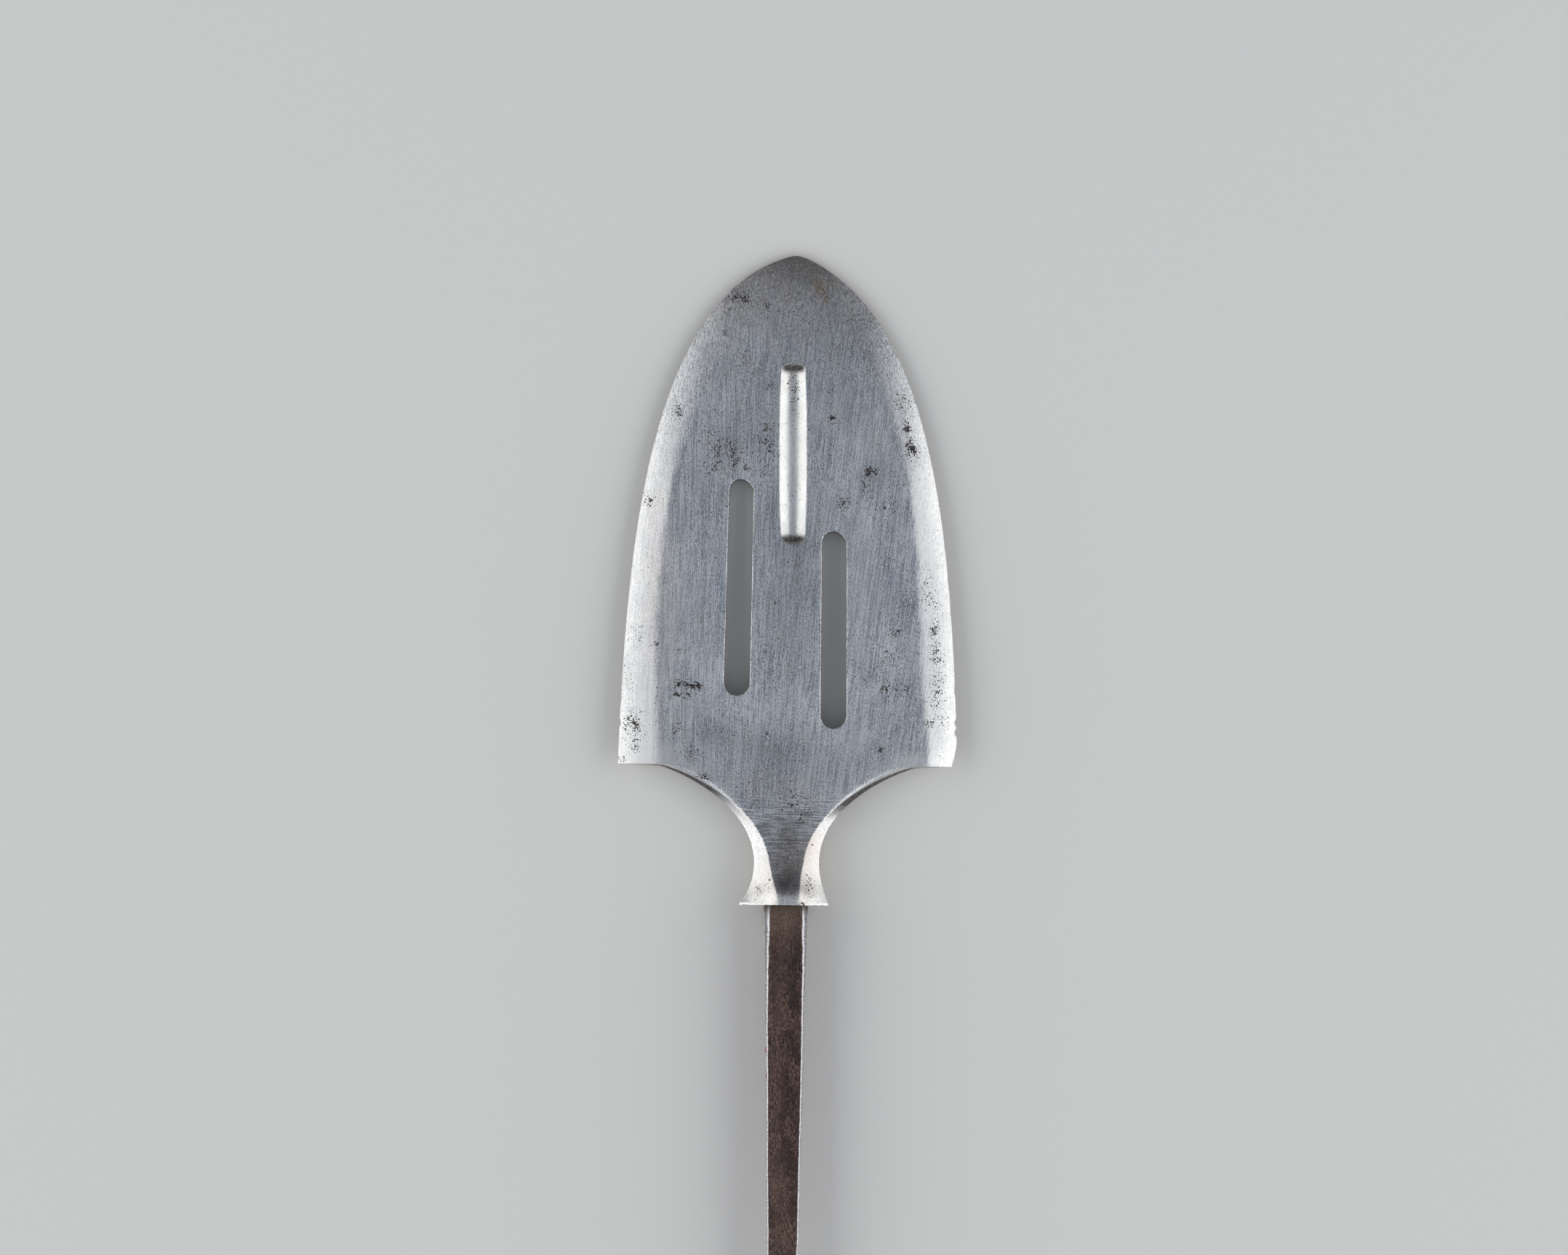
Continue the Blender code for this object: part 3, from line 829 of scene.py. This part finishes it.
def add_flat(head, right, left, face):
    """Front or back flat between the two sides, with lips round the slots. Returns the walls' rings."""
    outlines = [slot_outline(*slot) for slot in SLOTS]
    holes = [outset(outline, SLOT_LIP) for outline in outlines]
    border = right + left[:0:-1]
    points, triangles = filled([p.xy for p in border], holes, flat_points(right, face))
    vertices = []
    for i, (x, y) in enumerate(points):
        z = border[i].z if i < len(border) else face * head_top(x, y, face)
        vertices.append(head_vertex(head, Vector((x, y, z)), **flat_marks(x, y, face)))
    for triangle in triangles:
        corners = [vertices[i] for i in triangle]
        if len(set(corners)) == 3:
            head.mesh.faces.new(corners if face > 0 else reversed(corners))
    walls = []
    for outline in outlines:
        rings = []
        for step in range(LIP_STEPS + 1):
            angle = math.pi / 2 * step / LIP_STEPS
            out = SLOT_LIP * (1.0 - math.cos(angle))
            sink = SLOT_LIP * (1.0 - math.sin(angle))
            # Dirt and painted shade on the walls.
            dirt = SLOT_DIRT_AND_SHADE if step == 0 else 0.0
            ring = []
            for x, y in outset(outline, out):
                z = face * (head_top(x, y, face) - sink)
                ring.append(head_vertex(head, Vector((x, y, z)), dirt=dirt))
            rings.append(ring)
        head.quads(rings, flip=face < 0, closed=True)
        walls.append(rings[0])
    return walls


def seat_face(head, right, left):
    """Flat underside of the collar, with the socket that the tenon goes into."""
    border = [vertex.co.xz for vertex in right + left[::-1]]
    half = TENON_HALF + TENON_GAP
    corners = [(half, half), (-half, half), (-half, -half), (half, -half)]
    hole = [Vector(corner) for corner in corners]
    points, triangles = filled(border, [hole], [])
    vertices = [head_vertex(head, Vector((p.x, 0.0, p.y)), dirt=SEAT_DARKENING) for p in points]
    for triangle in triangles:
        head.mesh.faces.new([vertices[i] for i in triangle])
    deep = TENON_END_HALF + TENON_GAP
    rows = []
    for reach, y in ((half, 0.0), (deep, TENON_DEPTH + TENON_GAP)):
        ring = [Vector((math.copysign(reach, x), y, math.copysign(reach, z))) for x, z in corners]
        rows.append([head_vertex(head, point, dirt=SOCKET_DARKENING) for point in ring])
    head.quads(rows, closed=True)
    head.mesh.faces.new(rows[-1])


def head_mesh():
    """The whole head: two sides, two flats, the slots' walls and the seat face."""
    head = Body(*HEAD_PATCHES, "tarnish", "dirt")
    right_front, right_back, right_last = add_side(head, 1, blade_stations(1) + neck_stations(1))
    left_front, left_back, left_last = add_side(head, -1, blade_stations(-1) + neck_stations(-1))
    front_walls = add_flat(head, right_front, left_front, 1)
    back_walls = add_flat(head, right_back, left_back, -1)
    for front, back in zip(front_walls, back_walls):
        head.quads([back, front], closed=True)
    seat_face(head, right_last, left_last)
    return head.finished("blade_head_steel")


def tang_half(y):
    """Half width of the tang at a depth below the seat."""
    taper = ((0.0, TANG_HALF), (TANG_KNEE, TANG_KNEE_HALF), (TANG_LENGTH, TANG_END_HALF))
    return curve_height([Vector(knot) for knot in taper], y)


def near_seat(y):
    """How near a depth is to the seat, where the tang's corners are broad."""
    return math.exp(-max(0.0, y) / CHAMFER_FADE)


def tang_chamfer(y):
    """Width of the tang's rubbed corners."""
    size, rate = CHAMFER_RAGGED
    ragged = 1.0 + size * noise.noise(Vector((3.0, y * rate, 0.0)))
    return ragged * lerp(CHAMFER_LOW, CHAMFER_TOP, near_seat(y))


def tang_ring(half, chamfer, y):
    """One section of the tang, as points with how rubbed they are."""
    ring = []
    flat = half - chamfer
    inner = flat - RIDGE_WIDTH
    steps = range(TANG_FACE_STEPS + 1)
    places = [-flat] + [lerp(-inner, inner, step / TANG_FACE_STEPS) for step in steps] + [flat]
    corner_wear = lerp(*CORNER_WEAR, near_seat(-y))
    for quarter in range(4):
        turn = Matrix.Rotation(-math.pi / 2 * quarter, 2)
        for place in places:
            ring.append((turn @ Vector((place, half)), RIDGE_WEAR if abs(place) == flat else 0.0))
        for step in range(1, TANG_CORNER_STEPS):
            angle = math.pi / 2 * step / TANG_CORNER_STEPS
            corner = Vector((flat + chamfer * math.sin(angle), flat + chamfer * math.cos(angle)))
            chord = Vector((flat, half)).lerp(Vector((half, flat)), step / TANG_CORNER_STEPS)
            rubbed = RIDGE_WEAR if step in (1, TANG_CORNER_STEPS - 1) else corner_wear
            ring.append((turn @ chord.lerp(corner, CORNER_ROUND), rubbed))
    return [(Vector((x, y, z)), rubbed) for (x, z), rubbed in ring]


def tang_sections():
    """Sections of the tang, from the end of its tenon to its blunt lower end."""
    tenon_end = tang_ring(TENON_END_HALF, TENON_END_CHAMFER, TENON_DEPTH)
    tenon = tang_ring(TENON_HALF, TENON_CHAMFER, -TANG_GAP)
    depths = spread(TANG_GAP, TANG_LENGTH - TANG_END_CHAMFER, TANG_STEP)
    bar = [tang_ring(tang_half(y), tang_chamfer(y), -y) for y in depths]
    end = tang_ring(TANG_END_HALF - TANG_END_CHAMFER, CHAMFER_LOW, -TANG_LENGTH)
    return [tenon_end, tenon, *bar, end]


def forged(point):
    """A point of the tang moved by the unevenness of its forging."""
    swell = sum(size * noise.noise(point * rate) for size, rate in TANG_SWELLS)
    moved = point + Vector((point.x, 0.0, point.z)).normalized() * swell
    size, rate = TANG_BOW
    moved.x += size * noise.noise(Vector((0.0, point.y * rate, 4.0)))
    return moved


def tang_vertex(tang, point, rubbed):
    """Adds a point of the tang with its wear and painted shade. The paint is only on the front corners."""
    levels = patch_levels(TANG_PATCHES, point.x, point.y)
    if rubbed == 0.0 or point.z <= 0.0:
        levels["paint"] = 0.0
    levels["worn"] = rubbed
    levels["grime"] = hump(point.y, 0.0, GRIME_LENGTH)
    return tang.vertex(forged(point), levels)


def tang_mesh():
    """The tang, with a tenon above its shoulder."""
    tang = Body(*TANG_PATCHES, "worn", "grime")
    rows = []
    for section in tang_sections():
        rows.append([tang_vertex(tang, *place) for place in reversed(section)])
    tang.quads(rows, closed=True)
    tang.mesh.faces.new(rows[0])
    tang.mesh.faces.new(rows[-1])
    return tang.finished("tang_iron")


class Shader:
    """The nodes of a material or of the world, with short ways to add to them."""

    def __init__(self, owner):
        owner.use_nodes = True
        self.owner = owner
        self.tree = owner.node_tree

    def node(self, kind, inputs=None, **settings):
        """A new node with some of its inputs and settings."""
        made = self.tree.nodes.new(kind)
        for name, value in settings.items():
            setattr(made, name, value)
        for socket, value in (inputs or {}).items():
            self.feed(made.inputs[socket], value)
        return made

    def feed(self, socket, value):
        """Links a socket to another one, or sets its value."""
        if isinstance(value, bpy.types.NodeSocket):
            self.tree.links.new(value, socket)
        elif isinstance(value, tuple) and socket.type == "RGBA":
            socket.default_value = (*value, 1.0)
        else:
            socket.default_value = value

    def surface(self, name, value):
        """Feeds a socket of the material's Principled node."""
        self.feed(self.tree.nodes["Principled BSDF"].inputs[name], value)

    def bump(self, relief, strength, distance):
        """Fine relief of the surface, with its distance in metres."""
        inputs = {"Height": relief, "Strength": strength, "Distance": distance}
        self.surface("Normal", self.node("ShaderNodeBump", inputs).outputs["Normal"])

    def mark(self, name):
        """A wear level kept on the mesh's points."""
        return self.node("ShaderNodeAttribute", attribute_name=name).outputs["Fac"]

    def place(self):
        """Place on the object, in millimetres."""
        return self.node("ShaderNodeAttribute", attribute_name="place").outputs["Vector"]

    def grain(self, width, length, turn=0.0, seed=0.0, detail=2.0, roughness=0.5):
        """Noise with grains of a width and, along Y, a length in millimetres, turned by some degrees."""
        inputs = {
            "Vector": self.place(),
            "Location": (seed, 3.1 * seed, 1.7 * seed),
            "Rotation": (0.0, 0.0, math.radians(turn)),
            "Scale": (width, length, width),
        }
        mapped = self.node("ShaderNodeMapping", inputs, vector_type="TEXTURE").outputs["Vector"]
        inputs = {"Vector": mapped, "Scale": 1.0, "Detail": detail, "Roughness": roughness}
        return self.node("ShaderNodeTexNoise", inputs).outputs["Fac"]

    def math(self, operation, *values):
        made = self.node("ShaderNodeMath", operation=operation)
        for socket, value in zip(made.inputs, values):
            self.feed(socket, value)
        return made.outputs[0]

    def times(self, a, b):
        return self.math("MULTIPLY", a, b)

    def most(self, a, b):
        return self.math("MAXIMUM", a, b)

    def weighted(self, *pairs):
        """Sum of values, each times its weight."""
        total = 0.0
        for value, weight in pairs:
            total = self.math("MULTIPLY_ADD", value, weight, total)
        return total

    def ease(self, value, low, high, start=0.0, end=1.0):
        """Smooth step of a value between two levels."""
        inputs = {"Value": value, "From Min": low, "From Max": high, "To Min": start, "To Max": end}
        return self.node("ShaderNodeMapRange", inputs, interpolation_type="SMOOTHSTEP").outputs["Result"]

    def mixed(self, kind, factor, a, b, **settings):
        """Mix node for two colours or two values."""
        made = self.node("ShaderNodeMix", data_type=kind, **settings)
        first, second, result = MIX_SOCKETS[kind]
        for index, value in ((0, factor), (first, a), (second, b)):
            self.feed(made.inputs[index], value)
        return made.outputs[result]

    def mix(self, factor, a, b):
        """Mix of two colours."""
        return self.mixed("RGBA", factor, a, b)

    def broken(self, name, grains, *limits):
        """A wear level that a noise breaks up."""
        return self.times(self.mark(name), self.ease(grains, *limits))

    def layered(self, base, *layers):
        """A colour under some layers, each given as how much it covers and its colour."""
        for cover, colour in layers:
            base = self.mix(cover, base, colour)
        return base

    def tinted(self, colour, tint):
        """A colour times a tint."""
        return self.mixed("RGBA", 1.0, colour, tint, blend_type="MULTIPLY")

    def blend(self, factor, a, b):
        """Mix of two values."""
        return self.mixed("FLOAT", factor, a, b)

    def spots(self, noise_value, level, rare, common, soft=0.03):
        """Spots of a noise, rare at level 0 and common at level 1."""
        threshold = self.math("MULTIPLY_ADD", level, common - rare, rare)
        return self.ease(self.math("SUBTRACT", noise_value, threshold), 0.0, soft)


def scratch_tone(shader):
    """Polishing scratches: upright hairs, slanted ones to the right, and file marks across the neck."""
    split = shader.node("ShaderNodeSeparateXYZ", {0: shader.place()})
    upright = shader.grain(0.075, 6.5, turn=0.5, seed=1.0, detail=1.0)
    slanted = shader.grain(0.07, 6.0, turn=-8.0, seed=2.0, detail=1.0)
    filed = shader.grain(0.09, 2.4, turn=88.0, seed=3.0, detail=1.0)
    across = shader.ease(filed, 0.28, 0.72)
    plain = shader.ease(shader.grain(0.11, 0.14, turn=20.0, seed=15.0), 0.0, 1.0, 0.25, 0.75)
    broad = shader.grain(0.3, 9.0, turn=-3.0, seed=4.0)
    short = shader.grain(0.105, 0.26, turn=-5.0, seed=12.0)
    to_right = shader.ease(split.outputs["X"], -9.0, 9.0, 0.3, 0.8)
    hairs = shader.blend(to_right, upright, slanted)
    across = shader.blend(shader.ease(split.outputs["Y"], 5.0, 8.5, 0.15, 1.0), plain, across)
    hairs = shader.blend(shader.ease(split.outputs["Y"], 8.0, 14.0), across, hairs)
    return shader.weighted((hairs, 0.5), (short, 0.42), (broad, 0.08))


def steel_material():
    """Old hand-polished steel: scratches, clouds, pits, rust specks, tarnish and dirt, with painted shade
    and painted highlights.
    """
    shader = Shader(bpy.data.materials.new("worn_steel"))
    scratches = scratch_tone(shader)
    # Long slanted scratches, drawn as thin lines of painted highlight.
    scratch_highlights = shader.ease(shader.grain(0.1, 6.0, turn=-9.5, seed=5.0, detail=1.0), 0.65, 0.73)
    scuffs = shader.ease(shader.grain(0.11, 1.3, turn=84.0, seed=14.0, detail=1.0), 0.73, 0.79)
    clouds = shader.grain(6.0, 9.0, seed=6.0, detail=3.0)
    blotches = shader.grain(1.3, 1.9, seed=7.0, detail=4.0, roughness=0.6)
    speckle = shader.grain(0.17, 0.19, seed=8.0, roughness=0.6)
    blobs = shader.grain(0.4, 0.36, seed=9.0, detail=3.0, roughness=0.65)
    rusty = shader.grain(0.22, 0.27, seed=10.0, detail=3.0, roughness=0.6)
    drift = shader.ease(shader.grain(3.6, 4.4, seed=11.0), 0.4, 0.66, 0.17, 0.54)
    specks = shader.ease(shader.grain(0.15, 0.17, seed=13.0), 0.68, 0.73)

    # Painted highlight on the ground edges, facets, rim and groove walls.
    facet = shader.times(shader.mark("facet"), 0.8)
    patchy = shader.ease(shader.grain(0.9, 0.8, seed=16.0), 0.34, 0.66, 0.65, 1.5)
    drift = shader.times(drift, shader.math("SUBTRACT", 1.0, facet))
    level = shader.math("MULTIPLY_ADD", shader.mark("pits"), patchy, drift)
    fine_pits = shader.spots(speckle, level, 0.71, 0.505)
    pits = shader.most(fine_pits, shader.spots(blobs, level, 0.8, 0.575))
    rust = shader.spots(rusty, shader.mark("rust"), 0.8, 0.55, 0.06)
    rust = shader.most(rust, shader.times(specks, 0.6))
    # Painted shade, broken up by the blotches.
    painted_shade = shader.broken("painted_shade", blotches, 0.3, 0.65, 0.45, 1.0)
    tarnish = shader.broken("tarnish", blotches, 0.25, 0.7, 0.6, 1.0)
    # Dirt in the groove's ends; painted shade on the slots' walls and the shoulders' undersides; a darker
    # collar underside and socket.
    dirt = shader.broken("dirt", speckle, 0.3, 0.6, 0.7, 1.0)

    tone = shader.weighted((scratches, 0.84), (clouds, 0.07), (blotches, 0.09))
    warmth = shader.ease(blotches, 0.38, 0.62)
    dark = shader.mix(warmth, *STEEL_DARK)
    light = shader.mix(warmth, *STEEL_LIGHT)
    base = shader.layered(
        shader.mix(shader.ease(tone, 0.423, 0.577), dark, light),
        (shader.times(scratch_highlights, 0.8), SCRATCH_HIGHLIGHT_COLOUR),
        (shader.times(scuffs, 0.6), SCUFF_COLOUR),
        (facet, PAINTED_HIGHLIGHT_COLOUR),
        (shader.times(painted_shade, 0.75), SHADE_COLOUR),
    )
    base = shader.layered(
        base,
        (shader.times(shader.mark("film"), 0.6), shader.tinted(base, FILM_TINT)),
        (shader.times(tarnish, 0.75), TARNISH_COLOUR),
        (shader.times(rust, 0.85), RUST_COLOUR),
        (dirt, DIRT_AND_SHADE_COLOUR),
        (pits, PIT_COLOUR),
    )
    shader.surface("Base Color", base)

    # Pits, rust, dirt and painted shade are rougher and less metallic.
    marred_and_shaded = shader.most(shader.most(pits, dirt), shader.times(rust, 0.8))
    shader.surface("Metallic", shader.ease(marred_and_shaded, 0.0, 1.0, 1.0, 0.15))
    smooth = shader.ease(clouds, 0.3, 0.7, 0.3, 0.38)
    shader.surface("Roughness", shader.math("MULTIPLY_ADD", marred_and_shaded, 0.35, smooth))

    relief = shader.weighted((scratches, 1.2), (blotches, 0.15), (pits, -1.4))
    shader.bump(relief, strength=0.5, distance=0.00002)
    return shader.owner


def iron_material():
    """Unpolished tang: fibrous brown patina, painted shade, dust, rust, grime, paint and rubbed corners."""
    shader = Shader(bpy.data.materials.new("brown_patina"))
    fibres = shader.grain(0.085, 0.44, turn=3.0, seed=1.0, detail=3.0, roughness=0.6)
    blotch = shader.grain(1.2, 3.0, turn=4.0, seed=2.0, detail=4.0, roughness=0.65)
    grain = shader.grain(0.19, 0.24, seed=3.0, detail=3.0, roughness=0.65)
    orange = shader.ease(shader.grain(0.34, 0.45, seed=4.0), 0.7, 0.75)
    left_hairs = shader.grain(0.09, 0.5, turn=35.0, seed=5.0)
    leaning = shader.most(left_hairs, shader.grain(0.09, 0.5, turn=-25.0, seed=6.0))
    flecks = shader.ease(leaning, 0.62, 0.74)

    worn = shader.mark("worn")
    grime = shader.broken("grime", grain, 0.3, 0.55, 0.3, 1.0)
    rubbed = shader.times(shader.ease(worn, 0.2, 0.45), shader.ease(grain, 0.27, 0.42, 0.35, 1.0))
    ridge = shader.times(shader.ease(worn, 0.7, 0.95), shader.ease(grain, 0.3, 0.6, 0.45, 1.0))
    paint = shader.spots(grain, shader.mark("paint"), 0.95, 0.35)

    # Painted shade, mostly on the tang's right half.
    tang_shade = shader.broken("tang_shade", blotch, 0.3, 0.6, 0.6, 1.0)
    dust = shader.broken("dust", grain, 0.35, 0.6, 0.2, 0.7)
    base = shader.layered(
        shader.mix(shader.ease(fibres, 0.4, 0.63), *FIBRES),
        (shader.ease(blotch, 0.45, 0.6, 0.0, 0.7), BLOTCH_COLOUR),
        (shader.ease(grain, 0.35, 0.55, 0.6, 0.0), GRAIN_COLOUR),
        (tang_shade, TANG_SHADE_COLOUR),
        (dust, DUST_COLOUR),
        (shader.times(flecks, 0.6), FLECK_COLOUR),
        (rubbed, shader.mix(shader.ease(grain, 0.35, 0.65), *RUBBED)),
        (ridge, RIDGE_COLOUR),
        (grime, GRIME_COLOUR),
        (shader.times(orange, 0.8), ORANGE_COLOUR),
        (paint, PAINT_COLOUR),
    )
    shader.surface("Base Color", base)
    covered = shader.most(paint, shader.times(grime, 0.6))
    bare = shader.math("SUBTRACT", shader.most(rubbed, ridge), covered)
    shader.surface("Metallic", shader.ease(bare, 0.0, 1.0, 0.25, 0.95))
    shader.surface("Roughness", shader.ease(bare, 0.0, 1.0, 0.62, 0.37))
    shader.surface("Specular IOR Level", 0.35)

    relief = shader.weighted((fibres, 0.7), (grain, 0.6))
    shader.bump(relief, strength=0.7, distance=0.00009)
    return shader.owner


def placement():
    """From millimetres about the seat face to the row frame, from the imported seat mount."""
    seat = next(mount for mount in frame["record"]["mounts"] if mount["name"] == "seat_face")
    down = Vector(seat["axis"])
    tilt = math.atan2(-down.z, -down.y)
    centre = Vector((0.0, seat["pos_m"][1], seat["pos_m"][2]))
    return Matrix.Translation(centre) @ Matrix.Rotation(tilt, 4, "X") @ Matrix.Scale(0.001, 4)


def add_piece(name, mesh, material, node, sharp):
    """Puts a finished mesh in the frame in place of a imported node."""
    mesh.transform(placement())
    mesh.materials.append(material)
    mesh.shade_smooth()
    mesh.set_sharp_from_angle(angle=math.radians(sharp))
    piece = bpy.data.objects.new(name, mesh)
    bpy.context.scene.collection.objects.link(piece)
    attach(piece, "root")
    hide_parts(node)


def add_floor():
    """Plain pale floor under the object."""
    shader = Shader(bpy.data.materials.new("pale_floor"))
    shader.surface("Base Color", FLOOR_COLOUR)
    shader.surface("Roughness", 0.9)
    shader.surface("Specular IOR Level", 0.1)
    bpy.ops.mesh.primitive_plane_add(size=FLOOR_SIZE)
    floor = bpy.context.object
    floor.name = "floor"
    floor.data.materials.append(shader.owner)


def add_lamp(name, location, size, power):
    """Soft box that faces the object."""
    lamp = bpy.data.lights.new(name, "AREA")
    lamp.shape = "RECTANGLE"
    lamp.size, lamp.size_y = size
    lamp.energy = power
    box = bpy.data.objects.new(name, lamp)
    box.location = location
    box.rotation_euler = (-Vector(location)).to_track_quat("-Z", "Y").to_euler()
    bpy.context.scene.collection.objects.link(box)


def add_world():
    """Dim light all round, darker beyond the tip, so that the flats stay grey."""
    shader = Shader(bpy.data.worlds.new("studio"))
    bpy.context.scene.world = shader.owner
    direction = shader.node("ShaderNodeTexCoord").outputs["Generated"]
    split = shader.node("ShaderNodeSeparateXYZ", {0: direction})
    shade = shader.ease(split.outputs["Y"], *WORLD_FADE)
    colour = shader.mix(shade, WORLD_COLOUR, WORLD_BEYOND_TIP)
    shader.feed(shader.tree.nodes["Background"].inputs["Color"], colour)


def add_camera():
    """Camera over the front, at the photograph's angle and scale."""
    target = placement() @ Vector((VIEW_X, VIEW_Y, 0.0))
    back = Vector((0.0, -math.sin(VIEW_TILT), math.cos(VIEW_TILT)))
    data = bpy.data.cameras.new("camera")
    data.sensor_width = SENSOR_MM
    data.lens = SENSOR_MM * VIEW_DISTANCE / VIEW_WIDTH
    camera = bpy.data.objects.new("camera", data)
    camera.location = target + back * VIEW_DISTANCE
    camera.rotation_mode = "QUATERNION"
    facing = (-back).to_track_quat("-Z", "Y").to_matrix().to_4x4()
    camera.rotation_quaternion = (facing @ Matrix.Rotation(VIEW_ROLL, 4, "Z")).to_quaternion()
    bpy.context.scene.collection.objects.link(camera)
    bpy.context.scene.camera = camera


def main():
    add_camera()
    add_piece("steel_head", head_mesh(), steel_material(), "blade_head", HEAD_SHARP)
    add_piece("iron_tang", tang_mesh(), iron_material(), "tang", TANG_SHARP)
    add_floor()
    add_world()
    for lamp in LAMPS:
        add_lamp(*lamp)
    bpy.context.scene.view_settings.view_transform = "Standard"


main()
